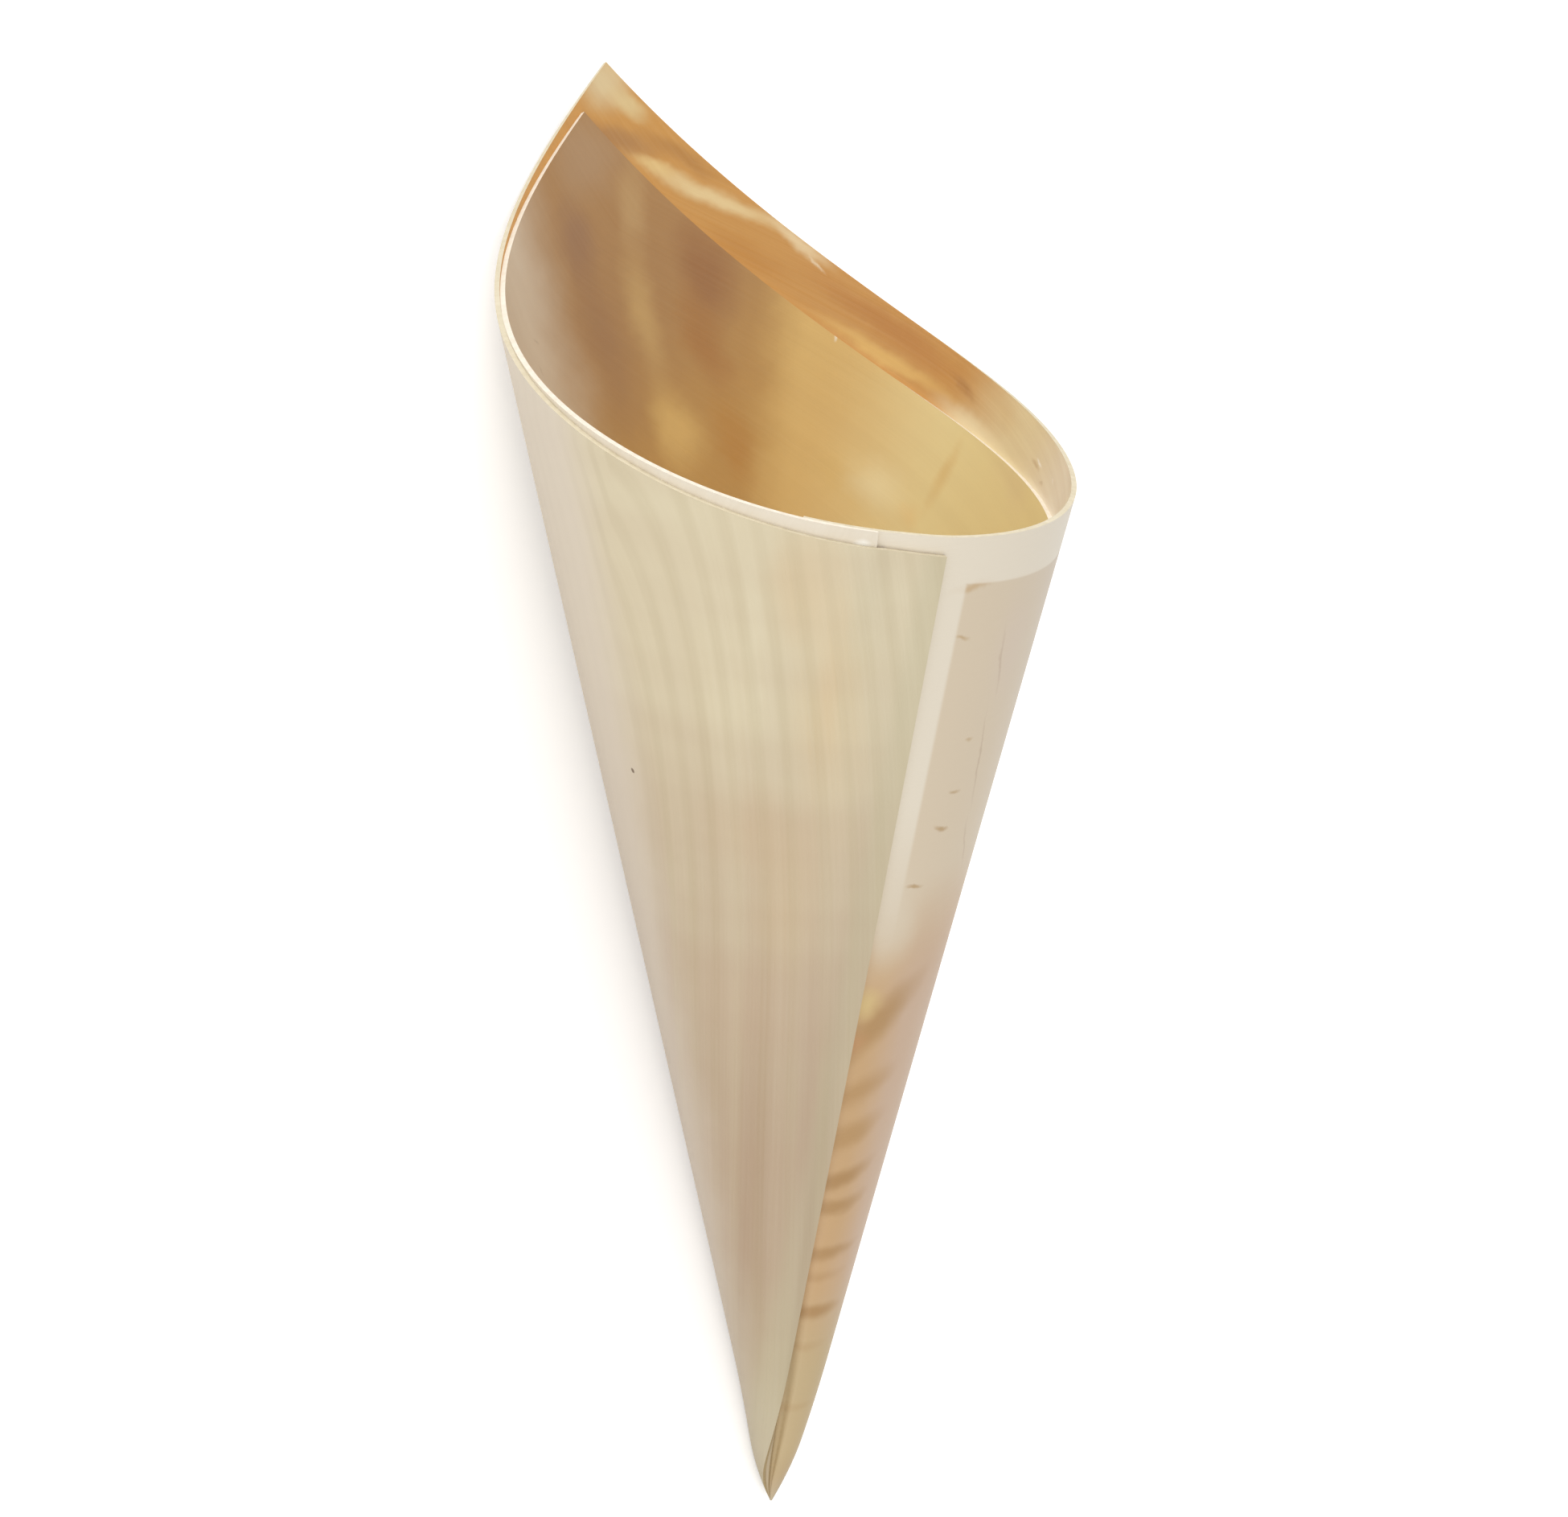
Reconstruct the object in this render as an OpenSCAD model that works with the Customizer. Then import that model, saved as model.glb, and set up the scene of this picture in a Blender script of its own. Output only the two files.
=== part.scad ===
// Serving cone rolled from two thin pine veneers that are glued face to face.
// Each veneer is a nearly square sheet with one corner at the cone's point and the far corner as the tall lip.
// It lies on its side, as it comes to rest: point towards +Y, mouth towards -Y, lowest line of the wall on z = 0.
// Lengths are in millimetres and angles in degrees. Directions round the cone start at its front
// and run to the right. Directions in a flat sheet are taken about the cone's point.

/* [Cone] */
// Half angle of the cone
half_angle = 14.5; // [12:0.1:17]
// Share by which the cone is oval
oval = 0.06; // [0:0.01:0.12]
// Direction in which the oval is wide
oval_turn = 22; // [0:1:180]
// Share by which the cone is three-sided
lobe = 0.017; // [0:0.001:0.04]
// Direction of one of the three lobes
lobe_turn = 27; // [0:1:120]
// How far the very point leans over to the left
point_lean = 1; // [0:0.1:2]
// Length next to the point over which it leans
point_lean_l = 20; // [10:1:40]

/* [Veneers] */
// Thickness of each veneer
veneer_t = 0.6; // [0.4:0.05:0.9]
// Thickness of the glue line between two plies
glue_t = 0.08; // [0.06:0.01:0.2]
// Length next to the point over which the plies are squeezed thin
squeeze_l = 9; // [6:1:20]
// Length next to the point over which the edges draw in to it
draw_in_l = 3; // [2.5:0.5:5]
// How far short of the cone's exact point the veneers end
point_cut = 0.3; // [0.2:0.1:1]
// How far the outer veneer's start sinks in where the inner one doesn't back it
sink_d = 0.5; // [0:0.05:0.6]
// Flat angle by which it stays up before the inner one's start
sink_lag = 1; // [0.8:0.1:2]
// Flat angle over which it sinks in
sink_span = 3.5; // [3:0.5:6]
// Flat angle by which the outer veneer stays up past the inner one's end
settle_lag = 1.1; // [1:0.1:2]
// Flat angle over which it then settles down
settle_span = 1.8; // [1.5:0.1:5]

/* [Outer veneer] */
// Direction of its start edge, which is tucked in
outer_start = 0.5; // [0:0.1:2]
// How far its start edge passes beside the cone's point
outer_start_off = 2; // [1.6:0.1:3]
// Flat angle by which it laps over its own start
outer_lap = 7.6; // [5:0.1:12]
// How far its end edge passes beside the cone's point
outer_end_off = 2.4; // [0:0.1:3.4]
// Distance from the cone's point to its first rim side
outer_side_1 = 125.5; // [110:0.5:140]
// Distance from the cone's point to its second rim side
outer_side_2 = 123.2; // [110:0.1:140]
// Angle of its first rim side off the square
outer_skew_1 = 0; // [-5:0.1:5]
// Angle of its second rim side off the square
outer_skew_2 = 10.8; // [0:0.1:14]

/* [Inner veneer] */
// Direction of its start edge
inner_start = 9.2; // [8:0.1:12]
// Flat angle by which it stops short of its own start
inner_short = 5.2; // [3:0.1:7]
// How far its start edge passes beside the cone's point
inner_start_off = 1; // [0:0.1:2]
// How far its end edge passes beside the cone's point
inner_end_off = 1.4; // [0:0.1:3]
// Distance from the cone's point to its first rim side
inner_side_1 = 119.9; // [105:0.1:140]
// Distance from the cone's point to its second rim side
inner_side_2 = 125.4; // [105:0.1:140]
// Angle of its first rim side off the square
inner_skew_1 = 5.3; // [-5:0.1:8]
// Angle of its second rim side off the square
inner_skew_2 = 0.5; // [-5:0.1:8]

/* [Hidden] */

// Facets: columns along each of the two rim sides, rings that spread out from the point, then the rim
columns = 48;
rings = 14;
last_ring = 0.75 * min(outer_side_1, outer_side_2, inner_side_1, inner_side_2);

function sum(v) = [for (x = v) 1] * v;
function clamp(x, low, high) = min(high, max(low, x));
function smooth(x) = let (s = clamp(x, 0, 1)) s * s * (3 - 2 * s);

// The cone: its point is the origin, its axis +Z and its front -Y
function spread(f) = half_angle * (1 + oval * cos(2 * (f - oval_turn)) + lobe * cos(3 * (f - lobe_turn)));
function spread_rate(f) =
    -half_angle * PI / 180 * (2 * oval * sin(2 * (f - oval_turn)) + 3 * lobe * sin(3 * (f - lobe_turn)));
function ray(f) = let (b = spread(f)) [sin(b) * sin(f), -sin(b) * cos(f), cos(b)];
function wall_tangent(f) =
    let (b = spread(f))
    spread_rate(f) * [cos(b) * sin(f), -cos(b) * cos(f), -sin(b)] + sin(b) * [cos(f), sin(f), 0];
function wall_normal(f) = let (n = cross(wall_tangent(f), ray(f))) n / norm(n);

// Rolling: flat angle against direction round the cone, added up in small steps
step = 2;
first_f = -240;
last_f = 600;
rolled = [
    for (f = first_f, s = 0; f <= last_f; s = s + step * norm(wall_tangent(f + step / 2)), f = f + step)
        [s, f]
];
unrolled = [for (p = rolled) [p[1], p[0]]];
flat_zero = lookup(0, unrolled);
full_turn = lookup(360, unrolled) - flat_zero;
function turn_of(a) = lookup(a + flat_zero, rolled);
function flat_of(f) = lookup(f, unrolled) - flat_zero;

// Each sheet's four sides: the start and end edges as [direction, how far they pass beside the point],
// the two rim sides as [direction of the normal, distance from the point]
outer_end = outer_start + full_turn + outer_lap;
inner_end = inner_start + full_turn - inner_short;
OUTER = [
    [outer_start, -outer_start_off],
    [outer_end - 90 + outer_skew_1, outer_side_1],
    [outer_start + 90 + outer_skew_2, outer_side_2],
    [outer_end, -outer_end_off]
];
INNER = [
    [inner_start, -inner_start_off],
    [inner_end - 90 + inner_skew_1, inner_side_1],
    [inner_start + 90 + inner_skew_2, inner_side_2],
    [inner_end, -inner_end_off]
];

// Flat angle at which an edge lies, at a distance from the cone's point. The edges are straight
// but for a slight bend that lets them meet at the point.
function edge_at(edge, r) = edge[0] + edge[1] / (r + draw_in_l) * 180 / PI;

// Offset of the glue line from the cone: it sinks in before the inner veneer's start, climbs over
// the first turn, fully so a little before the lap, and then lies on the start of the outer veneer
ply = veneer_t + glue_t;
climb_lead = 1.2;
function lap_from(r) = edge_at(OUTER[0], r) + full_turn;
function sunk(a, r) = -sink_d * smooth((edge_at(INNER[0], r) - sink_lag - a) / sink_span);
function first_lay(a, r) =
    let (from = edge_at(INNER[0], r), to = lap_from(r), climb = sunk(to - full_turn, r) + 2 * ply)
    a < from ? sunk(a, r) : climb * min(1, (a - from) / (to - climb_lead - from));
function plies_under(a, r, outer) =
    outer ? 2 - smooth((a - edge_at(INNER[3], r) - settle_lag) / settle_span) : 2;
function glue_line(a, r, outer) =
    a <= lap_from(r) ? first_lay(a, r) : first_lay(a - full_turn, r) + ply * plies_under(a, r, outer);

// Face of a veneer: side 0 is its inner face, side 1 its outer face and 0.5 its middle
function face_offset(a, r, outer, side) =
    glue_line(a, r, outer) + (outer ? glue_t / 2 + veneer_t * side : -glue_t / 2 - veneer_t * (1 - side));
function squeeze(r) = sin(90 * min(1, r / squeeze_l));
function leaned(r) = point_lean * pow(1 - min(1, r / point_lean_l), 2) * [-1, 0, 0];
function roll_up(p, outer, side) =
    let (r = norm(p), a = atan2(p[1], p[0]), f = turn_of(a))
    r * ray(f) + squeeze(r) * face_offset(a, r, outer, side) * wall_normal(f) + leaned(r);

// Points of a sheet: lines that fan out from the point to the rim
function polar(r, a) = r * [cos(a), sin(a)];
function edge_end(edge, side) =
    let (a = edge_at(edge, side[1]), r = side[1] / cos(a - side[0]))
    polar(r, edge_at(edge, r));
function crossing(s1, s2) =
    [s1[1] * sin(s2[0]) - s2[1] * sin(s1[0]), s2[1] * cos(s1[0]) - s1[1] * cos(s2[0])] / sin(s2[0] - s1[0]);
function rim(sheet) =
    let (k1 = edge_end(sheet[0], sheet[1]), lip = crossing(sheet[1], sheet[2]), k2 = edge_end(sheet[3], sheet[2]))
    [
        for (i = [0 : columns - 1]) k1 + (lip - k1) * i / columns,
        for (i = [0 : columns]) lip + (k2 - lip) * i / columns
    ];
function share_across(sheet, q) =
    let (r = norm(q), from = edge_at(sheet[0], r))
    (atan2(q[1], q[0]) - from) / (edge_at(sheet[3], r) - from);
function inward(sheet, q, r) =
    let (from = edge_at(sheet[0], r), to = edge_at(sheet[3], r))
    polar(r, from + (to - from) * share_across(sheet, q));
function sheet_face(sheet, outer, side) = [
    for (j = [0 : rings], q = rim(sheet))
        let (r = j == rings ? norm(q) : point_cut * pow(last_ring / point_cut, j / (rings - 1)))
        roll_up(inward(sheet, q, r), outer, side)
];

// Balance: the direction in which the centre of mass lies lowest over a plane along the wall
across = 2 * columns + 1;
function at(j, i) = j * across + i;
function cells(mid) = [
    for (j = [0 : rings - 1], i = [0 : across - 2])
        let (p = mid[at(j, i)], q = mid[at(j + 1, i + 1)], u = mid[at(j + 1, i)], v = mid[at(j, i + 1)])
        [norm(cross(q - p, v - u)) / 2, (p + q + u + v) / 4]
];
all_cells = concat(cells(sheet_face(OUTER, true, 0.5)), cells(sheet_face(INNER, false, 0.5)));
balance = sum([for (c = all_cells) c[0] * c[1]]) / sum([for (c = all_cells) c[0]]);
function outer_wall(f) =
    let (a = flat_of(f), r = outer_side_1, over = a + full_turn < edge_at(OUTER[3], r))
    face_offset(over ? a + full_turn : a, r, true, 1);
heights = [for (f = [0 : 359]) outer_wall(f) - balance * wall_normal(f)];
rest_turn = [for (f = [0 : 359]) if (heights[f] == min(heights)) f][0];

// Laying down: the wall's normal at that direction turns to -Z, and the box is centred on the origin
floor_normal = wall_normal(rest_turn);
bearing = atan2(floor_normal[0], -floor_normal[1]);
lean = 90 + asin(floor_normal[2]);
function lay_down(p) =
    let (x = p[0] * cos(bearing) + p[1] * sin(bearing), y = p[1] * cos(bearing) - p[0] * sin(bearing))
    [x, y * cos(lean) - p[2] * sin(lean), y * sin(lean) + p[2] * cos(lean)];
function sheet_points(sheet, outer) =
    [for (side = [0, 1], p = sheet_face(sheet, outer, side)) lay_down(p)];
outer_points = sheet_points(OUTER, true);
inner_points = sheet_points(INNER, false);
all_points = concat(outer_points, inner_points);
function reach(k) = [for (p = all_points) p[k]];
seat = [
    (min(reach(0)) + max(reach(0))) / 2,
    (min(reach(1)) + max(reach(1))) / 2,
    min(reach(2))
];

// Triangles of a sheet: its two faces, then the narrow wall round its cut edges
layer = (rings + 1) * across;
face_triangles = [
    for (j = [0 : rings - 1], i = [0 : across - 2])
        each [
            [at(j, i), at(j, i + 1), at(j + 1, i + 1)],
            [at(j, i), at(j + 1, i + 1), at(j + 1, i)]
        ]
];
outline = concat(
    [for (j = [0 : rings - 1]) at(j, 0)],
    [for (i = [0 : across - 2]) at(rings, i)],
    [for (j = [rings : -1 : 1]) at(j, across - 1)],
    [for (i = [across - 1 : -1 : 1]) at(0, i)]
);
SHEET_FACES = concat(
    face_triangles,
    [for (t = face_triangles) [t[0] + layer, t[2] + layer, t[1] + layer]],
    [
        for (k = [0 : len(outline) - 1])
            let (a = outline[k], b = outline[(k + 1) % len(outline)])
            each [[a, b, b + layer], [a, b + layer, a + layer]]
    ]
);

module sheet(points) {
    polyhedron(points = [for (p = points) p - seat], faces = SHEET_FACES, convexity = 8);
}

module outer_veneer() {
    color("#d8bd8c")
        sheet(outer_points);
}

module inner_veneer() {
    color("#d2ae74")
        sheet(inner_points);
}

outer_veneer();
inner_veneer();
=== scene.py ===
"""Serving cone rolled from two thin pine veneers that are glued face to face.

It lies on its side on a white surface: point towards +Y, mouth towards -Y. Each veneer is cut as a
flat sheet, given its thickness and its cut edges while flat, and then rolled up the way the
construction rolls it. Wood patterns are drawn on the flat sheet, in millimetres, as on real veneer.
"""

import math

import bpy
import numpy as np
from mathutils import Matrix, Vector


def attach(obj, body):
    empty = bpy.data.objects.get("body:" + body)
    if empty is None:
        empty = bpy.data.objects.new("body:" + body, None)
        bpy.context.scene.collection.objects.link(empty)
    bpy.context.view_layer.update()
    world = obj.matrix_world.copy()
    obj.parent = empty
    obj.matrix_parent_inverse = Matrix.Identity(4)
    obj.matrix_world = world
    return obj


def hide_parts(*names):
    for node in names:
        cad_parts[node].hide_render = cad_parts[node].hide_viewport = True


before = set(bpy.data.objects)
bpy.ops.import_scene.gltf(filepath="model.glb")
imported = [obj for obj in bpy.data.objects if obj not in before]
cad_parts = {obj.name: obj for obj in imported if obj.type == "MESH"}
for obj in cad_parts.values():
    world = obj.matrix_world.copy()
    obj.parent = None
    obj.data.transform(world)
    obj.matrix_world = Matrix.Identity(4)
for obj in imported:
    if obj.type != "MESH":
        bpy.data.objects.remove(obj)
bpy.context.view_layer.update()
bpy.ops.object.select_all(action="DESELECT")

MM = 0.001
DEG = math.pi / 180

# Sizes in mm and degrees. They are the construction's, apart from how the front ply settles over the inner
# veneer's end: SETTLE_LAG, SETTLE_SPAN, the RIM_ values and PRESSED follow the photo's narrower step.
HALF_ANGLE, OVAL, OVAL_TURN, LOBE, LOBE_TURN = 14.5, 0.06, 22, 0.017, 27
POINT_LEAN, POINT_LEAN_L = 1.0, 20.0
VENEER_T, GLUE_T = 0.6, 0.08
SQUEEZE_L, DRAW_IN_L, POINT_CUT = 9.0, 3.0, 0.3
SINK_D, SINK_LAG, SINK_SPAN, SETTLE_LAG, SETTLE_SPAN = 0.5, 1.0, 3.5, 0.2, 2.8
RIM_SOONER, RIM_STEEPER, RIM_FROM, RIM_OVER = 0.5, 1.9, 106, 14
CLIMB_LEAD = 1.2
PRESSED, PRESSED_SPAN = 0.4, 3.5
BEARING, LEAN = -124.808, 75.1508
SEAT = np.array([-2.25214, -89.8896, -1.52777])

# the modelled sheet: FAN_T of its rings lie within FAN_R of the point, and crowd towards it
COLUMNS, RINGS = 220, 100
FAN_R, FAN_T, FAN_CROWD = 90.0, 0.76, 1.35
# each veneer reaches this share of the glue line's width towards the other, so no daylight shows between them
INTO_GLUE = 0.45
SHARP_EDGE = 40

# sockets of a colour mix: share, colour below, colour laid over it
MIX_SHARE, MIX_BELOW, MIX_OVER = 0, 6, 7
# a patch is drawn on the sheet and goes right through it
THROUGH = 1000

# the photo's camera, fitted to the cone's outline: focal length and width in pixels
FOCAL_PX, PHOTO_PX, SENSOR_MM = 5123.6, 1950, 36
CAMERA_PLACE = (0.403221, 0.008836, 0.30646)
CAMERA_RIGHT = (-0.570585, 0.182118, 0.800791)
CAMERA_DOWN = (0.092536, 0.983149, -0.157657)
CAMERA_AHEAD = (-0.816009, -0.015855, -0.577823)

# light levels
PAPER_GLOW = 0.4
WORLD_LIGHT, WORLD_SEEN = 0.75, 1.0
LAMP_AIM, LAMP_SIZE = (0, 0, 0.03), 0.8


# rolling a flat sheet into the cone
def spread(f):
    oval = OVAL * np.cos(2 * (f - OVAL_TURN) * DEG)
    return HALF_ANGLE * (1 + oval + LOBE * np.cos(3 * (f - LOBE_TURN) * DEG))


def ray(f):
    b = spread(f) * DEG
    return np.stack([np.sin(b) * np.sin(f * DEG), -np.sin(b) * np.cos(f * DEG), np.cos(b)], -1)


def wall_tangent(f):
    b = spread(f) * DEG
    rate = -HALF_ANGLE * DEG * (
        2 * OVAL * np.sin(2 * (f - OVAL_TURN) * DEG) + 3 * LOBE * np.sin(3 * (f - LOBE_TURN) * DEG)
    )
    out = np.stack([np.cos(b) * np.sin(f * DEG), -np.cos(b) * np.cos(f * DEG), -np.sin(b)], -1)
    along = np.stack([np.cos(f * DEG), np.sin(f * DEG), 0 * f], -1)
    return rate[..., None] * out + np.sin(b)[..., None] * along


def wall_normal(f):
    n = np.cross(wall_tangent(f), ray(f))
    return n / np.linalg.norm(n, axis=-1, keepdims=True)


STEP = 2.0
TURNS = np.arange(-240, 601, STEP)
ROLLED = np.concatenate([[0], np.cumsum(STEP * np.linalg.norm(wall_tangent(TURNS[:-1] + STEP / 2), axis=-1))])
FLAT_ZERO = np.interp(0, TURNS, ROLLED)
FULL_TURN = np.interp(360, TURNS, ROLLED) - FLAT_ZERO

# A sheet's sides: start edge, first rim side, second rim side, end edge. The edges are [direction, how far
# they pass beside the point], the rim sides [direction of the normal, distance from the point].
OUTER_START, OUTER_END = 0.5, 0.5 + FULL_TURN + 7.6
INNER_START, INNER_END = 9.2, 9.2 + FULL_TURN - 5.2
OUTER = ((OUTER_START, -2.0), (OUTER_END - 90, 125.5), (OUTER_START + 100.8, 123.2), (OUTER_END, -2.4))
INNER = ((INNER_START, -1.0), (INNER_END - 84.7, 119.9), (INNER_START + 90.5, 125.4), (INNER_END, -1.4))
PLY = VENEER_T + GLUE_T


def edge_at(edge, r):
    return edge[0] + edge[1] / (r + DRAW_IN_L) / DEG


def smooth(x):
    s = np.clip(x, 0, 1)
    return s * s * (3 - 2 * s)


def sunk(a, r):
    return -SINK_D * smooth((edge_at(INNER[0], r) - SINK_LAG - a) / SINK_SPAN)


def first_lay(a, r):
    begin, lap = edge_at(INNER[0], r), edge_at(OUTER[0], r)
    climb = sunk(lap, r) + 2 * PLY
    climbed = np.minimum(1, (a - begin) / (lap + FULL_TURN - CLIMB_LEAD - begin))
    return np.where(a < begin, sunk(a, r), climb * climbed)


def pressed(a, r):
    """How much thinner the inner veneer is where the front ply presses its end down."""
    return PRESSED * VENEER_T * smooth((a - edge_at(INNER[3], r)) / PRESSED_SPAN + 1)


def glue_line(a, r, outer):
    by_rim = smooth((r - RIM_FROM) / RIM_OVER)
    past_end = a - edge_at(INNER[3], r) - SETTLE_LAG + RIM_SOONER * by_rim
    share = 1 - smooth(past_end / (SETTLE_SPAN - RIM_STEEPER * by_rim)) if outer else 1.0
    lapped = a > edge_at(OUTER[0], r) + FULL_TURN
    over_start = first_lay(a - FULL_TURN, r) + PLY + (PLY - pressed(a, r)) * share
    return np.where(~lapped, first_lay(a, r), over_start)


def roll_up(x, y, depth, outer):
    """Where a spot of the flat sheet comes to lie. depth is 0 on the inner face and 1 on the outer one."""
    r, a = np.hypot(x, y), np.arctan2(y, x) / DEG
    f = np.interp(a + FLAT_ZERO, ROLLED, TURNS)
    below = GLUE_T / 2 + (VENEER_T - pressed(a, r)) * (1 - depth)
    off = glue_line(a, r, outer) + (GLUE_T / 2 + VENEER_T * depth if outer else -below)
    off = off * np.sin(math.pi / 2 * np.minimum(1, r / SQUEEZE_L))
    p = r[..., None] * ray(f) + off[..., None] * wall_normal(f)
    p[..., 0] -= POINT_LEAN * (1 - np.minimum(1, r / POINT_LEAN_L)) ** 2
    return p


def lay_down(p):
    """Turns the upright cone on its side, to lie on z = 0 over the middle of its box."""
    c, s = math.cos(BEARING * DEG), math.sin(BEARING * DEG)
    cl, sl = math.cos(LEAN * DEG), math.sin(LEAN * DEG)
    x, y = p[..., 0] * c + p[..., 1] * s, p[..., 1] * c - p[..., 0] * s
    return np.stack([x, y * cl - p[..., 2] * sl, y * sl + p[..., 2] * cl], -1) - SEAT


# the two veneers
def rim_corners(sides):
    def edge_end(edge, side):
        a = edge_at(edge, side[1])
        r = side[1] / math.cos((a - side[0]) * DEG)
        a = edge_at(edge, r)
        return np.array([r * math.cos(a * DEG), r * math.sin(a * DEG)])

    one, two = sides[1], sides[2]
    lip = np.array([
        one[1] * math.sin(two[0] * DEG) - two[1] * math.sin(one[0] * DEG),
        two[1] * math.cos(one[0] * DEG) - one[1] * math.cos(two[0] * DEG),
    ]) / math.sin((two[0] - one[0]) * DEG)
    return edge_end(sides[0], one), lip, edge_end(sides[3], two)


def cut_veneer(name, sides):
    """A grid is spread over the flat sheet, fanned out from the point, and given thickness and edges."""
    bpy.ops.mesh.primitive_grid_add(x_subdivisions=COLUMNS, y_subdivisions=RINGS, size=2, location=(0, 0, 0))
    piece = bpy.context.object
    piece.name = name
    mesh = piece.data
    co = np.empty(len(mesh.vertices) * 3)
    mesh.vertices.foreach_get("co", co)
    co = co.reshape(-1, 3)
    s, t = (co[:, 0] + 1) / 2, (co[:, 1] + 1) / 2
    k1, lip, k2 = rim_corners(sides)
    rim = np.where(
        (s <= 0.5)[:, None],
        k1 + (lip - k1) * np.minimum(1, 2 * s)[:, None],
        lip + (k2 - lip) * np.maximum(0, 2 * s - 1)[:, None],
    )
    rim_r = np.hypot(rim[:, 0], rim[:, 1])
    r = np.where(
        t < FAN_T,
        POINT_CUT + (FAN_R - POINT_CUT) * (np.minimum(t, FAN_T) / FAN_T) ** FAN_CROWD,
        FAN_R + (rim_r - FAN_R) * np.maximum(0, t - FAN_T) / (1 - FAN_T),
    )
    begin, end = edge_at(sides[0], rim_r), edge_at(sides[3], rim_r)
    share = (np.arctan2(rim[:, 1], rim[:, 0]) / DEG - begin) / (end - begin)
    a = (edge_at(sides[0], r) * (1 - share) + edge_at(sides[3], r) * share) * DEG
    co = np.stack([r * np.cos(a), r * np.sin(a), 0 * r], -1)
    mesh.vertices.foreach_set("co", co.reshape(-1))
    mesh.update()
    bpy.ops.object.mode_set(mode="EDIT")
    bpy.ops.mesh.select_all(action="SELECT")
    bpy.ops.mesh.normals_make_consistent(inside=False)
    bpy.ops.object.mode_set(mode="OBJECT")
    if mesh.polygons[0].normal.z < 0:
        mesh.flip_normals()
    wall = piece.modifiers.new("thickness", "SOLIDIFY")
    wall.thickness = VENEER_T
    wall.offset = 0
    wall.material_offset = 1
    wall.material_offset_rim = 2
    for slot in range(3):
        mesh.materials.append(None)
    bpy.ops.object.modifier_apply(modifier=wall.name)
    return piece


def roll(piece, outer):
    """Rolls the flat piece up. Its flat place stays on it as "flat", in mm, for the wood patterns."""
    mesh = piece.data
    co = np.empty(len(mesh.vertices) * 3)
    mesh.vertices.foreach_get("co", co)
    co = co.reshape(-1, 3)
    flat = mesh.attributes.new("flat", "FLOAT_VECTOR", "POINT")
    flat.data.foreach_set("vector", co.astype(np.float32).reshape(-1))
    depth = co[:, 2] / VENEER_T + 0.5
    glued = INTO_GLUE * GLUE_T / VENEER_T
    depth = depth * (1 + glued) - (glued if outer else 0)
    lying = lay_down(roll_up(co[:, 0], co[:, 1], depth, outer)) * MM
    mesh.vertices.foreach_set("co", lying.reshape(-1))
    mesh.update()
    bpy.ops.object.shade_smooth_by_angle(angle=SHARP_EDGE * DEG)


# wood
def srgb(code):
    """A colour written as in a paint list, made linear."""
    parts = [int(code[i:i + 2], 16) / 255 for i in (1, 3, 5)]
    return tuple(c / 12.92 if c <= 0.04045 else ((c + 0.055) / 1.055) ** 2.4 for c in parts) + (1.0,)


def add(tree, kind, links=None, out=0, **settings):
    """Adds a node. links gives each socket a value or what it is linked from."""
    n = tree.nodes.new(kind)
    for key, value in settings.items():
        setattr(n, key, value)
    for key, value in (links or {}).items():
        if isinstance(value, bpy.types.NodeSocket):
            tree.links.new(value, n.inputs[key])
        else:
            n.inputs[key].default_value = value
    return n.outputs[out] if len(n.outputs) else n


def tint(tree, share, below, colour):
    """Lays a colour over what is below, by a share."""
    colour = colour if isinstance(colour, bpy.types.NodeSocket) else srgb(colour)
    return add(tree, "ShaderNodeMix", {MIX_SHARE: share, MIX_BELOW: below, MIX_OVER: colour},
               out=2, data_type="RGBA")


def beyond(tree, flat, direction, distance, soft):
    """1 beyond a straight line on the flat sheet, 0 before it."""
    d = (math.cos(direction * DEG), math.sin(direction * DEG), 0)
    across = add(tree, "ShaderNodeVectorMath", {0: flat, 1: d}, out="Value", operation="DOT_PRODUCT")
    return add(tree, "ShaderNodeMapRange", {"Value": across, "From Min": distance - soft,
                                            "From Max": distance + soft}, interpolation_type="SMOOTHSTEP")


def patch(tree, flat, middle, size, turn=0.0, strength=1.0, core=0.0):
    """A soft oval patch: full in its core and fading to nothing at its rim."""
    local = add(tree, "ShaderNodeMapping", {"Vector": flat, "Location": (*middle, 0),
                                            "Rotation": (0, 0, turn * DEG),
                                            "Scale": (*size, THROUGH)}, vector_type="TEXTURE")
    away = add(tree, "ShaderNodeVectorMath", {0: local}, out="Value", operation="LENGTH")
    return add(tree, "ShaderNodeMapRange", {"Value": away, "From Min": core, "From Max": 1.0,
                                            "To Min": strength, "To Max": 0.0},
               interpolation_type="SMOOTHSTEP")


def flat_place(tree):
    return add(tree, "ShaderNodeAttribute", out="Vector", attribute_name="flat")


def wandering(tree, flat, reach, size):
    """The flat place, pushed about by soft noise, so that the listed marks get natural outlines."""
    push = add(tree, "ShaderNodeTexNoise", {"Vector": flat, "Scale": 1 / size, "Detail": 3.0,
                                            "Roughness": 0.6}, out="Color")
    centred = add(tree, "ShaderNodeVectorMath", {0: push, 1: (0.5, 0.5, 0.5)}, operation="SUBTRACT")
    scaled = add(tree, "ShaderNodeVectorMath", {0: centred, "Scale": reach}, operation="SCALE")
    return add(tree, "ShaderNodeVectorMath", {0: flat, 1: scaled}, operation="ADD")


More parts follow.
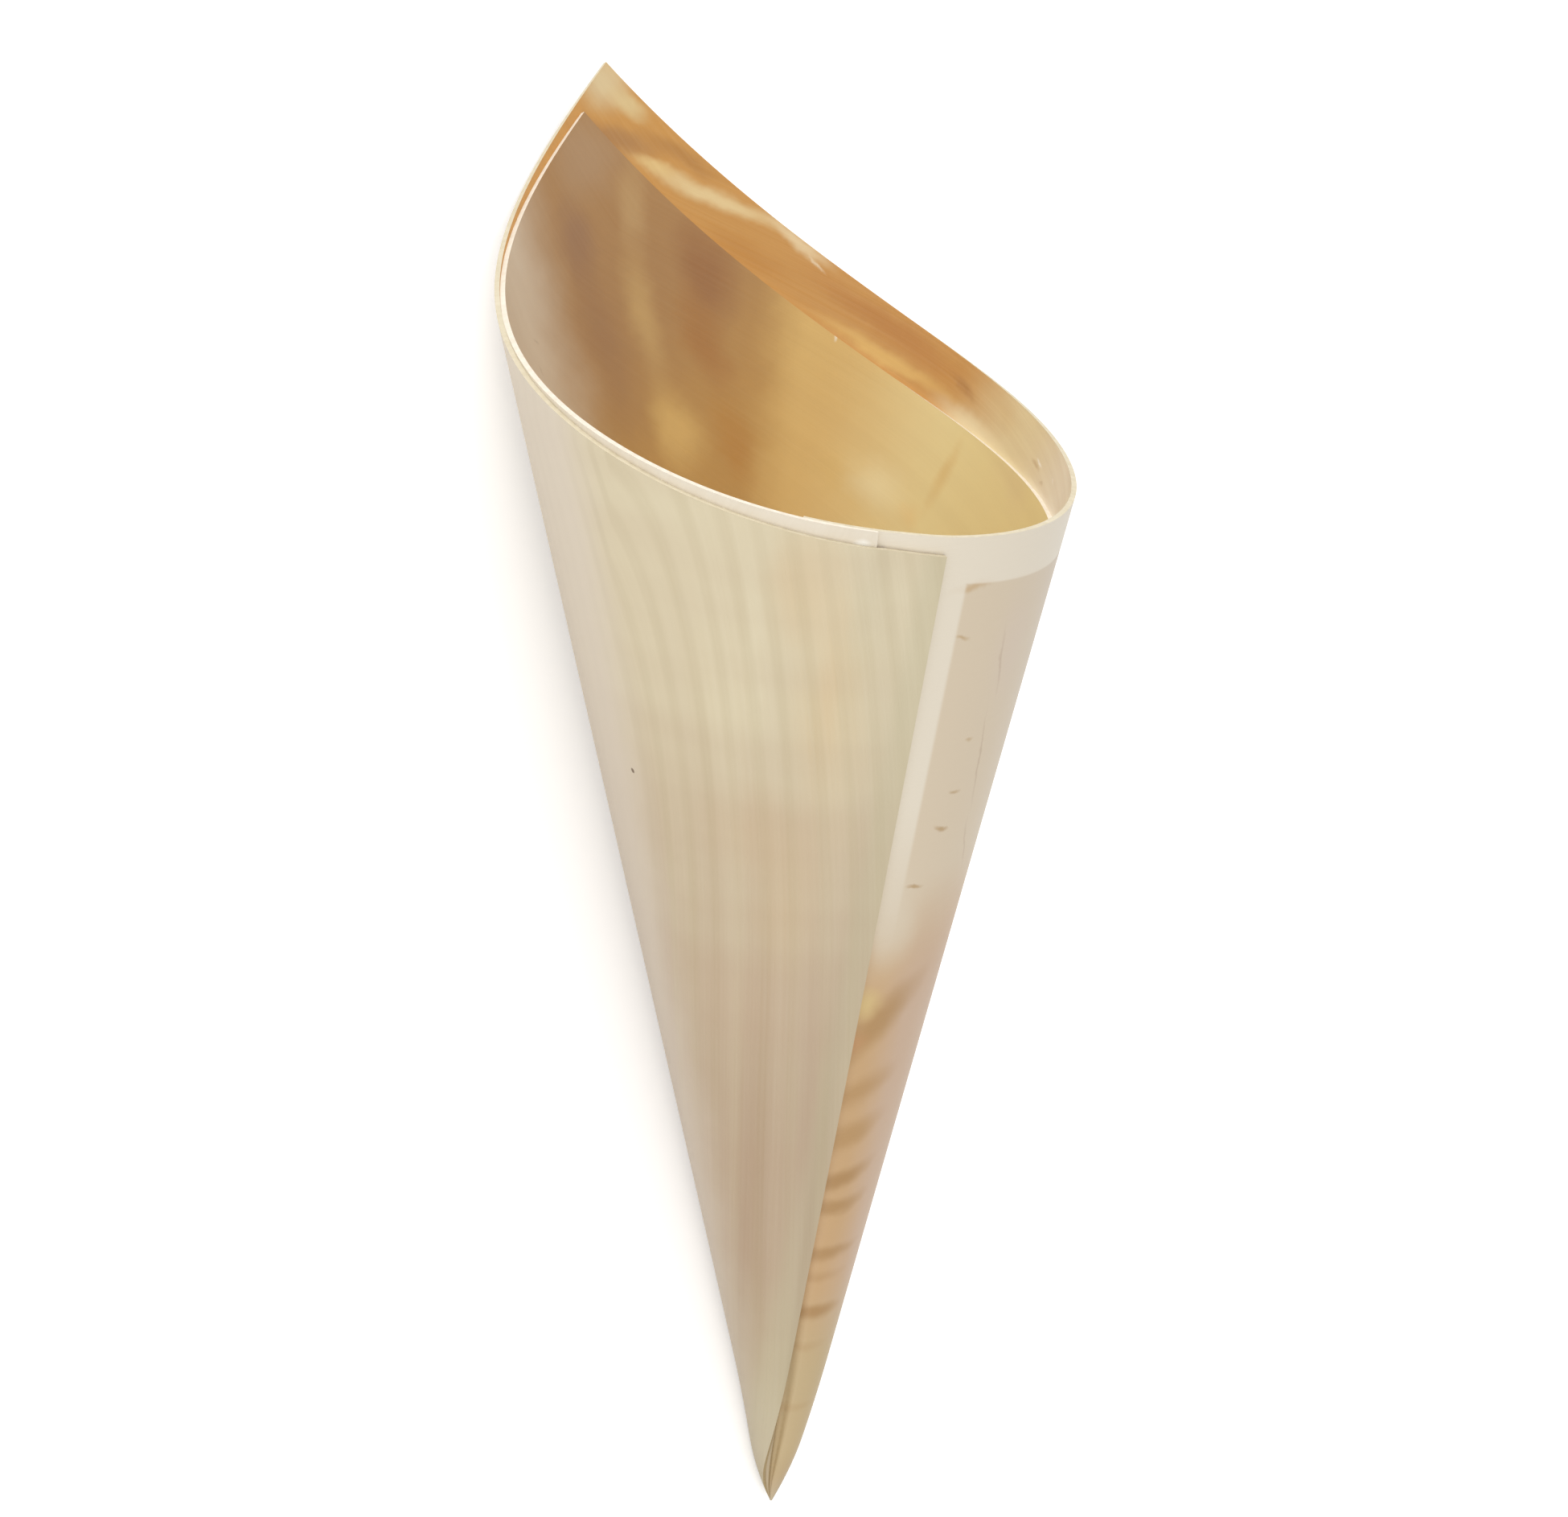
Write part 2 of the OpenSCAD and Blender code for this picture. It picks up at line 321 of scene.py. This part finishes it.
def along_grain(tree, flat, lean, more=0.0):
    """Place across and along the grain. By the rim the lines lean aside by lean mm, and by more at the left."""
    parts = tree.nodes.new("ShaderNodeSeparateXYZ")
    tree.links.new(flat, parts.inputs[0])
    x, y = parts.outputs[0], parts.outputs[1]
    rise = add(tree, "ShaderNodeMapRange", {"Value": y, "From Min": 70.0, "From Max": 130.0, "To Max": 1.2})
    rise = add(tree, "ShaderNodeMath", {0: rise, 1: rise}, operation="MULTIPLY")
    side = add(tree, "ShaderNodeMapRange", {"Value": x, "From Min": -2.0, "From Max": 24.0})
    side = add(tree, "ShaderNodeMath", {0: side, 1: side}, operation="MULTIPLY")
    shift = add(tree, "ShaderNodeMath", {0: side, 1: more, 2: lean}, operation="MULTIPLY_ADD")
    shift = add(tree, "ShaderNodeMath", {0: shift, 1: rise}, operation="MULTIPLY")
    across = add(tree, "ShaderNodeMath", {0: x, 1: shift}, operation="SUBTRACT")
    return add(tree, "ShaderNodeCombineXYZ", {0: across, 1: y, 2: 0.0})


def streaks(tree, grain, width, length, detail=2.0, seed=0.0, contrast=1.0):
    """Noise drawn out along the grain: width and length are the real size of one streak, in mm."""
    local = add(tree, "ShaderNodeMapping", {"Vector": grain, "Location": (seed, seed * 0.7, 0),
                                            "Scale": (1 / width, 1 / length, 1)})
    noise = add(tree, "ShaderNodeTexNoise", {"Vector": local, "Scale": 1.0, "Detail": detail,
                                             "Roughness": 0.55})
    return add(tree, "ShaderNodeMapRange", {"Value": noise, "From Min": 0.5 - 0.25 / contrast,
                                            "From Max": 0.5 + 0.25 / contrast})


def growth_lines(tree, grain, spacing, at):
    """Soft dark latewood lines, spacing mm apart, that wander a little. One of them runs at `at`."""
    local = add(tree, "ShaderNodeMapping", {"Vector": grain, "Scale": (math.pi / 10 / spacing, 0.003, 1)})
    phase = math.pi - 2 * math.pi * at / spacing
    bands = add(tree, "ShaderNodeTexWave", {"Vector": local, "Scale": 1.0, "Distortion": 1.4, "Detail": 1.0,
                                            "Detail Scale": 1.6, "Phase Offset": phase}, out="Fac")
    return add(tree, "ShaderNodeMapRange", {"Value": bands, "From Min": 0.3, "From Max": 1.0},
               interpolation_type="SMOOTHSTEP")


def new_finish(name):
    finish = bpy.data.materials.new(name)
    finish.use_nodes = True
    tree = finish.node_tree
    tree.nodes.clear()
    return finish, tree


def close_finish(tree, colour, roughness, height, relief_mm, specular=0.5):
    normal = add(tree, "ShaderNodeBump", {"Height": height, "Distance": relief_mm * MM, "Strength": 1.0})
    wood = add(tree, "ShaderNodeBsdfPrincipled", {"Base Color": colour, "Roughness": roughness,
                                                  "Normal": normal, "IOR": 1.5,
                                                  "Specular IOR Level": specular})
    add(tree, "ShaderNodeOutputMaterial", {"Surface": wood})


def relief(tree, fine, broad):
    """Surface height: the fibres' furrows on the slow waves of peeled veneer."""
    return add(tree, "ShaderNodeMath", {0: broad, 1: 3.0, 2: fine}, operation="MULTIPLY_ADD")


def ripple(tree, flat, length, width, seed=0.0):
    """Slow waves across the grain, left by the knife that peels the veneer."""
    local = add(tree, "ShaderNodeMapping", {"Vector": flat, "Location": (seed, seed, 0),
                                            "Scale": (1 / width, 1 / length, 1)})
    return add(tree, "ShaderNodeTexNoise", {"Vector": local, "Scale": 1.0, "Detail": 1.5})


def marks(tree, place, colour, rows):
    """Lays soft marks over a colour, one after another.

    A row is x, y, half width, half length, turn, share, core and colour.
    """
    for x, y, across, along, turn, share, core, code in rows:
        colour = tint(tree, patch(tree, place, (x, y), (across, along), turn, share, core), colour, code)
    return colour


def part_of(tree, share, most):
    """A share made smaller, to at most `most`."""
    return add(tree, "ShaderNodeMath", {0: share, 1: most}, operation="MULTIPLY")


def outer_face_of_outer():
    """Peeled pine, unfinished, outside: cream to tan, fine straight grain, dull satin."""
    finish, tree = new_finish("pine_veneer_outside")
    flat = flat_place(tree)
    loose = wandering(tree, flat, 3.0, 9.0)
    grain = along_grain(tree, flat, 3.6, 7.1)
    colour = tint(tree, beyond(tree, loose, 90, 84, 44), srgb("#b2977b"), "#dccfae")
    colour = tint(tree, beyond(tree, loose, 270, -25, 12), colour, "#b9a886")
    colour = marks(tree, loose, colour, (
        (-1.0, 120.0, 6.0, 11.0, 4, 0.50, 0.1, "#d6b98a"),
        (-3.5, 106.0, 2.2, 16.0, 6, 0.30, 0.0, "#d0ab7a"),
        (2.0, 89.0, 12.0, 8.0, 0, 0.40, 0.1, "#c7a881"),
        (4.0, 68.0, 13.0, 9.0, 0, 0.20, 0.1, "#c3a58a"),
        (8.0, 106.0, 7.0, 12.0, 0, 0.35, 0.1, "#dfd3b0"),
        (4.5, 110.0, 1.6, 18.0, -4, 0.30, 0.0, "#e9dfc0"),
        (-6.5, 112.0, 2.6, 14.0, 3, 0.25, 0.0, "#bfb694"),
        (-4.0, 106.0, 6.0, 20.0, 0, 0.50, 0.0, "#d7bb89"),
        (0.0, 80.0, 6.0, 12.0, 0, 0.30, 0.0, "#cfae80")))
    wide = streaks(tree, grain, 3.6, 160.0, 1.0, 3.1, 1.3)
    colour = tint(tree, part_of(tree, wide, 0.22), colour, "#e6dabb")
    lines = growth_lines(tree, grain, 3.1, 2.4)
    uneven = streaks(tree, flat, 9.0, 40.0, 1.0, 7.7, 1.2)
    uneven = add(tree, "ShaderNodeMapRange", {"Value": uneven, "To Min": 0.08, "To Max": 0.24})
    colour = tint(tree, part_of(tree, lines, uneven), colour, "#b7a77e")
    fine = streaks(tree, grain, 0.35, 30.0, 3.0, 1.3)
    colour = tint(tree, part_of(tree, fine, 0.08), colour, "#efe6d2")
    # the peeling waves are used as bumps and also as painted shade: soft darker bands across the grain where
    # the waves' slopes would be in shade
    wave = ripple(tree, flat, 7.0, 45.0, 2.0)
    painted_ripple_shade = add(tree, "ShaderNodeMapRange", {"Value": wave, "From Min": 0.35, "From Max": 0.65,
                                             "To Max": 0.16})
    colour = tint(tree, painted_ripple_shade, colour, "#b5957a")
    # painted light: a pale pinkish tint from the front's left outline round the back to the start wall,
    # standing in for the light that brightens both outlines
    colour = tint(tree, part_of(tree, beyond(tree, loose, -13, 0, 5), 0.75), colour, "#dfd2c1")
    colour = tint(tree, part_of(tree, beyond(tree, flat, 188.6, -5.0, 1.2), 0.35), colour, "#c5bc9b")
    # latewood that crosses the tucked-in start, and a painted highlight beside its main band
    start = part_of(tree, beyond(tree, loose, 270, -34, 14), beyond(tree, flat, 315, 2, 3))
    colour = tint(tree, start, colour, "#dccbb1")
    low = part_of(tree, beyond(tree, loose, 180, -74, 10), start)
    colour = tint(tree, low, colour, "#cda87a")
    colour = tint(tree, part_of(tree, beyond(tree, loose, 99.1, 1.3, 2.8), low), colour, "#d0b398")
    colour = tint(tree, part_of(tree, beyond(tree, loose, 180, -25, 8), start), colour, "#c8b085")
    colour = marks(tree, loose, colour, (
        (14.0, 1.0, 1.0, 4.0, 0, 0.20, 0.0, "#ad8450"),
        (22.0, 2.0, 1.2, 4.5, 0, 0.25, 0.0, "#ad8450"),
        (26.8, 3.2, 1.6, 4.8, 0, 0.80, 0.1, "#ad8450"),
        (31.8, 3.8, 1.1, 4.5, 3, 0.35, 0.0, "#ad8450"),
        (34.6, 4.4, 1.5, 5.5, -2, 0.70, 0.1, "#ad8450"),
        (40.9, 5.0, 1.6, 6.0, -5, 0.70, 0.1, "#ad8450"),
        (44.7, 5.6, 1.9, 6.5, -12, 0.80, 0.1, "#ad8450"),
        (50.4, 6.6, 2.2, 7.0, -16, 0.65, 0.1, "#b48b56"),
        (56.0, 7.6, 2.6, 7.5, -18, 0.60, 0.1, "#b48b56"),
        (64.4, 9.8, 3.2, 11.0, -34, 0.80, 0.1, "#b38b58"),
        # painted highlight: the pale yellow spot beside the main band, by the seam
        (67.2, 8.2, 2.6, 3.2, 0, 0.75, 0.1, "#dcc285"),
        (62.8, 6.6, 2.2, 3.0, 0, 0.50, 0.1, "#cf9a6c"),
        (78.0, 11.0, 8.0, 5.0, 0, 0.60, 0.2, "#e0d3bc"),
        (108.0, 27.0, 9.0, 5.0, 0, 0.35, 0.1, "#dccabb")))
    colour = marks(tree, wandering(tree, flat, 1.5, 3.0), colour, (
        (118.0, 19.0, 0.8, 4.5, -4, 0.55, 0.1, "#c4a06c"),
        (112.0, 18.2, 0.4, 1.6, 20, 0.55, 0.1, "#b89458"),
        (92.2, 19.0, 0.4, 1.3, 20, 0.55, 0.1, "#b38f56"),
        (88.2, 17.2, 0.45, 1.8, 25, 0.65, 0.1, "#b08a50"),
        (81.6, 13.8, 0.4, 1.7, 10, 0.65, 0.1, "#b08a50"),
        (98.5, 20.5, 0.4, 0.9, 0, 0.45, 0.1, "#b89458"),
        (107.0, 25.0, 5.5, 0.35, 0, 0.35, 0.1, "#b79a7e"),
        (95.0, 23.0, 8.0, 0.35, 3, 0.40, 0.1, "#b79a7e"),
        (84.0, 22.5, 5.0, 0.3, -4, 0.30, 0.1, "#b79a7e"),
        (124.4, 6.3, 1.6, 0.3, 4, 0.50, 0.2, "#a98f6c")))
    # one ply only: light comes through, so it looks paler
    strip = beyond(tree, flat, 279.2, 1.0, 0.3)
    past_one = beyond(tree, flat, 9.82, 119.9, 0.2)
    past_two = beyond(tree, flat, 99.7, 125.4, 0.12)
    lone = add(tree, "ShaderNodeMath", {0: strip, 1: past_one}, operation="MAXIMUM")
    near_start = beyond(tree, loose, 0, 83, 11.0)
    lone = part_of(tree, lone, near_start)
    colour = tint(tree, part_of(tree, lone, 0.75), colour, "#efe6d4")
    colour = tint(tree, part_of(tree, past_two, 0.3), colour, "#e2c9a0")
    # the point, rubbed and a little brown, and a small dark speck in the front ply
    colour = marks(tree, flat, colour, (
        (2.0, 2.0, 7.0, 7.0, 0, 0.35, 0.0, "#ab966e"),
        (21.8, 91.7, 0.45, 0.32, 30, 0.90, 0.5, "#6b5138")))
    close_finish(tree, colour, 0.5, relief(tree, fine, wave), 0.02)
    return finish


def inner_face_of_outer():
    """The same peeled pine's inside, unfinished, seen above the inner one: satin, its warm orange partly
    latewood and partly painted light, the glow of light through the single ply.
    """
    finish, tree = new_finish("pine_veneer_back_band")
    flat = flat_place(tree)
    loose = wandering(tree, flat, 2.4, 6.0)
    grain = along_grain(tree, flat, -11.0)
    # partly painted light: the warm orange base is latewood together with the glow of light that comes through
    # this single ply
    colour = tint(tree, beyond(tree, loose, 270, -79, 8), srgb("#cb9348"), "#e8d6a8")
    colour = tint(tree, beyond(tree, loose, 270, -62, 10), colour, "#efe5d0")
    colour = marks(tree, loose, colour, (
        (102.6, 145.0, 5.5, 6.0, 20, 0.95, 0.1, "#dcc597"),
        (103.6, 140.5, 2.0, 4.5, 20, 0.80, 0.1, "#e0c993"),
        (98.8, 138.5, 2.4, 10.0, 40, 0.90, 0.1, "#ad7c46"),
        (105.0, 131.5, 1.6, 9.0, 22, 0.85, 0.1, "#b57f3c"),
        (104.9, 124.6, 1.8, 15.0, 26, 0.90, 0.1, "#e9d09a"),
        (101.2, 132.6, 1.2, 4.0, 30, 0.70, 0.1, "#e8c987"),
        (109.2, 113.5, 1.2, 7.0, 8, 0.80, 0.1, "#efd9ac"),
        (103.0, 117.0, 2.4, 9.0, 20, 0.60, 0.1, "#c08232"),
        (109.8, 97.0, 2.4, 18.0, 9, 0.85, 0.1, "#bd7e34"),
        (106.8, 95.0, 1.4, 15.0, 13, 0.85, 0.1, "#e6bb6a"),
        (108.6, 79.0, 2.4, 10.0, 8, 0.75, 0.1, "#f3e3b8"),
        (111.2, 83.5, 0.9, 4.0, 0, 0.60, 0.0, "#a9733a"),
        (113.2, 76.0, 2.2, 7.0, 0, 0.50, 0.0, "#ddc08a")))
    # painted highlights: the thin white line and the white glints beside the brown speckles stand for light
    # catching raised fibres; the brown speckles are the wood's own
    colour = marks(tree, wandering(tree, flat, 0.8, 1.5), colour, (
        (108.8, 110.0, 0.3, 2.2, -5, 0.60, 0.0, "#f6e8c8"),
        (113.0, 64.5, 0.45, 2.0, 0, 0.50, 0.0, "#b9935f"),
        (113.6, 63.8, 0.3, 1.4, 0, 0.80, 0.1, "#fffaf0"),
        (112.4, 61.0, 0.35, 1.0, 20, 0.40, 0.0, "#b99a70"),
        (114.6, 58.0, 0.25, 1.0, -20, 0.60, 0.1, "#fffaf0")))
    rings = streaks(tree, grain, 1.8, 60.0, 2.0, 4.4, 1.2)
    colour = tint(tree, part_of(tree, rings, 0.16), colour, "#a9733a")
    fine = streaks(tree, grain, 0.4, 25.0, 3.0, 6.3)
    colour = tint(tree, part_of(tree, fine, 0.06), colour, "#f0dcb4")
    wave = ripple(tree, flat, 9.0, 30.0, 5.0)
    close_finish(tree, colour, 0.42, relief(tree, fine, wave), 0.012)
    return finish


def inside_of_cone():
    """Peeled pine, unfinished, on the cone's smooth inside: blurred warm figure, satin."""
    finish, tree = new_finish("pine_veneer_inside")
    flat = flat_place(tree)
    loose = wandering(tree, flat, 5.0, 10.0)
    grain = along_grain(tree, flat, -11.0)
    colour = tint(tree, beyond(tree, loose, 270, -110, 14), srgb("#ab804e"), "#bf914a")
    colour = tint(tree, beyond(tree, loose, 311, -15.5, 4), colour, "#dab36a")
    colour = tint(tree, beyond(tree, loose, 300, -26, 11), colour, "#ead69a")
    colour = marks(tree, loose, colour, (
        (93.0, 139.5, 9.0, 7.0, 0, 0.60, 0.1, "#b0906e"),
        (84.0, 132.5, 5.0, 8.0, -30, 0.80, 0.1, "#997150"),
        (79.5, 122.0, 4.6, 17.0, -24, 0.70, 0.0, "#9f744a"),
        (86.2, 119.5, 3.4, 13.0, -28, 0.80, 0.0, "#c6a064"),
        (94.5, 131.0, 3.2, 8.0, -42, 0.60, 0.1, "#c29e6a"),
        (80.0, 106.0, 5.0, 8.5, -20, 0.95, 0.1, "#d8b067"),
        (97.2, 118.5, 5.4, 9.5, -28, 0.90, 0.1, "#9b6a3d"),
        (91.0, 112.0, 4.2, 10.0, -22, 0.85, 0.1, "#a97439"),
        (85.0, 100.0, 3.6, 8.0, -22, 0.80, 0.1, "#b98338"),
        # painted highlight: the pale spot low on the inside
        (95.0, 83.5, 4.5, 6.5, 0, 0.50, 0.0, "#f3e4b4"),
        (95.2, 77.6, 2.2, 3.0, 0, 0.30, 0.0, "#e9be78"),
        (92.0, 89.0, 3.0, 4.0, 0, 0.30, 0.0, "#dfb866"),
        (109.0, 66.0, 4.0, 8.0, 0, 0.50, 0.0, "#e2ca98")))
    # painted light: a pale whitish band along the visible left wall, for the satin sheen and the light coming
    # through the wall there
    colour = tint(tree, part_of(tree, beyond(tree, loose, 159, -21.5, 7.5), 0.95), colour, "#dbcab2")
    colour = marks(tree, wandering(tree, flat, 1.5, 4.0), colour, (
        (102.0, 77.2, 1.4, 6.8, -76, 0.40, 0.0, "#d6a85a"),
        (104.0, 101.2, 0.3, 0.7, -60, 0.70, 0.1, "#f4e8cf"),
        (66.0, 128.0, 0.3, 1.2, 40, 0.30, 0.0, "#a58c72"),
        (64.0, 125.0, 0.3, 1.0, 10, 0.30, 0.0, "#a58c72")))
    rings = streaks(tree, grain, 3.0, 70.0, 1.0, 2.4, 1.2)
    colour = tint(tree, part_of(tree, rings, 0.07), colour, "#9a6c3c")
    fine = streaks(tree, grain, 0.5, 25.0, 3.0, 9.3)
    colour = tint(tree, part_of(tree, fine, 0.03), colour, "#f0dcb4")
    wave = ripple(tree, flat, 8.0, 30.0, 8.0)
    close_finish(tree, colour, 0.4, relief(tree, fine, wave), 0.008)
    return finish


def outer_face_of_inner():
    """Peeled pine, unfinished, the inner veneer's outside: one pale ply that light comes through, dull."""
    finish, tree = new_finish("pine_veneer_pale_rim")
    flat = flat_place(tree)
    grain = along_grain(tree, flat, -11.0)
    colour = tint(tree, patch(tree, flat, (0, 0), (36, 36), 0, 0.95, 0.6), srgb("#e9decb"), "#b29c74")
    # painted highlight: a small white glint at the inner veneer's end corner by the rim, where its end curls
    colour = tint(tree, patch(tree, flat, (-6.8, 124.3), (1.3, 0.9), 0, 0.9, 0.3), colour, "#fffdf6")
    rings = streaks(tree, grain, 2.2, 80.0, 2.0, 5.4, 1.2)
    colour = tint(tree, part_of(tree, rings, 0.25), colour, "#dccbae")
    fine = streaks(tree, grain, 0.4, 25.0, 3.0, 3.3)
    colour = tint(tree, part_of(tree, fine, 0.15), colour, "#f6f0e2")
    wave = ripple(tree, flat, 8.0, 30.0, 8.0)
    close_finish(tree, colour, 0.5, relief(tree, fine, wave), 0.015)
    return finish


def cut_edge(name, low, high):
    """Freshly cut edge of thin pine veneer: pale, torn fibre ends, dull."""
    finish, tree = new_finish(name)
    flat = flat_place(tree)
    fray = streaks(tree, flat, 0.9, 0.9, 2.0, 1.1)
    colour = tint(tree, fray, srgb(low), high)
    colour = tint(tree, patch(tree, flat, (0, 0), (36, 36), 0, 0.95, 0.6), colour, "#b29c74")
    close_finish(tree, colour, 0.7, fray, 0.01, 0.3)
    return finish


def dress(piece, outside, inside, cut):
    """Puts a finish on each face of the sheet and on its cut edges."""
    for slot, finish in enumerate((outside, inside, cut)):
        piece.data.materials[slot] = finish


outer_veneer = cut_veneer("veneer_outside", OUTER)
roll(outer_veneer, True)
dress(outer_veneer, outer_face_of_outer(), inner_face_of_outer(),
      cut_edge("pine_veneer_outer_cut", "#cfc3a6", "#dcd1b8"))
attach(outer_veneer, "root")
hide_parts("outer_veneer")
bpy.ops.object.select_all(action="DESELECT")
inner_veneer = cut_veneer("veneer_inside", INNER)
roll(inner_veneer, False)
dress(inner_veneer, outer_face_of_inner(), inside_of_cone(),
      cut_edge("pine_veneer_inner_cut", "#e2d6c2", "#efe6d6"))
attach(inner_veneer, "root")
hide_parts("inner_veneer")
bpy.ops.object.select_all(action="DESELECT")

# surface, light and camera
bpy.ops.mesh.primitive_plane_add(size=8, location=(0, 0, 0))
surface = bpy.context.object
surface.name = "white_surface"
# Matt white paper, uncoated: no gloss at all, and lit a little from itself so that it reads as a white ground.
finish, tree = new_finish("matt_white_paper")
seen = add(tree, "ShaderNodeLightPath", out="Is Camera Ray")
glossy = add(tree, "ShaderNodeLightPath", out="Is Glossy Ray")
seen = add(tree, "ShaderNodeMath", {0: seen, 1: glossy}, operation="MAXIMUM")
glow = add(tree, "ShaderNodeMath", {0: seen, 1: PAPER_GLOW}, operation="MULTIPLY")
paper = add(tree, "ShaderNodeBsdfPrincipled", {"Base Color": srgb("#f2f2f2"), "Roughness": 0.9,
                                               "Specular IOR Level": 0.0, "Emission Color": (1, 1, 1, 1),
                                               "Emission Strength": glow})
add(tree, "ShaderNodeOutputMaterial", {"Surface": paper})
surface.data.materials.append(finish)

world = bpy.data.worlds.new("studio")
bpy.context.scene.world = world
world.use_nodes = True
tree = world.node_tree
tree.nodes.clear()
seen = add(tree, "ShaderNodeLightPath", out="Is Camera Ray")
level = add(tree, "ShaderNodeMapRange", {"Value": seen, "To Min": WORLD_LIGHT, "To Max": WORLD_SEEN})
sky = add(tree, "ShaderNodeBackground", {"Color": (1, 1, 1, 1), "Strength": level})
add(tree, "ShaderNodeOutputWorld", {"Surface": sky})


def soft_lamp(name, place, power):
    lamp = bpy.data.lights.new(name, "AREA")
    lamp.shape = "DISK"
    lamp.size = LAMP_SIZE
    lamp.energy = power
    holder = bpy.data.objects.new(name, lamp)
    bpy.context.scene.collection.objects.link(holder)
    holder.location = place
    holder.rotation_euler = (Vector(LAMP_AIM) - Vector(place)).to_track_quat("-Z", "Y").to_euler()


soft_lamp("front_softbox", (0.8, -1.2, 0.5), 4.5)
soft_lamp("point_softbox", (0.9, 1.0, 0.7), 4.0)
soft_lamp("mouth_softbox", (0.1, -1.5, 0.5), 8.0)

camera = bpy.data.objects.new("camera", bpy.data.cameras.new("camera"))
bpy.context.scene.collection.objects.link(camera)
camera.data.sensor_width = SENSOR_MM
camera.data.lens = FOCAL_PX / PHOTO_PX * SENSOR_MM
camera.data.clip_start = 0.01
turn = Matrix((CAMERA_RIGHT, [-v for v in CAMERA_DOWN], [-v for v in CAMERA_AHEAD])).transposed()
camera.matrix_world = Matrix.Translation(CAMERA_PLACE) @ turn.to_4x4()
bpy.context.scene.camera = camera
bpy.context.scene.view_settings.view_transform = "Standard"
